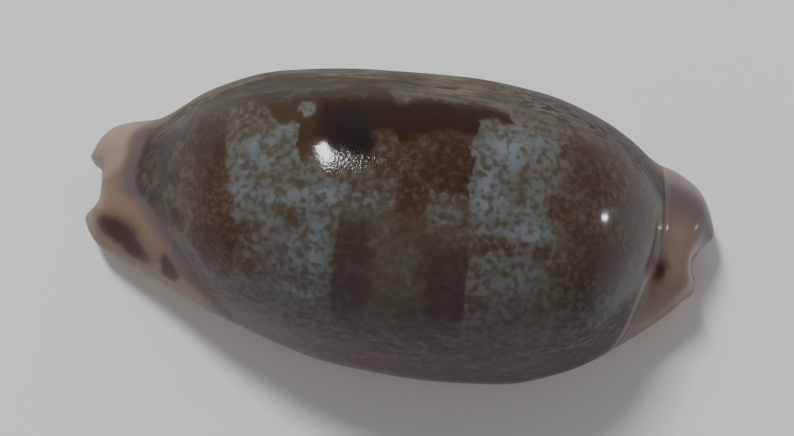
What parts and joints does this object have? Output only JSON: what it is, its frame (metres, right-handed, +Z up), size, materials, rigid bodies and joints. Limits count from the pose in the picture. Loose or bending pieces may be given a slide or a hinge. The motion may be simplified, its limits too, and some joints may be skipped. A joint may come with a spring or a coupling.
{
  "type": "tapering cowrie shell",
  "caption": "Long, tapering cowrie shell with a rolled-in outer lip, a narrow toothed slit along its base, a notched canal at each end and a glossy mottled, banded back.",
  "frame": {"origin": "on the surface that the base rests on, under the middle of the shell's length and width", "axes": "+X towards the posterior (spire) end, +Y towards the labral (outer lip) side, +Z up through the back"},
  "size_m": [0.0334, 0.016, 0.0135],
  "materials": {
    "shell": "gloss"
  },
  "bodies": {
    "root": {"shell": "shell"}
  },
  "joints": []
}
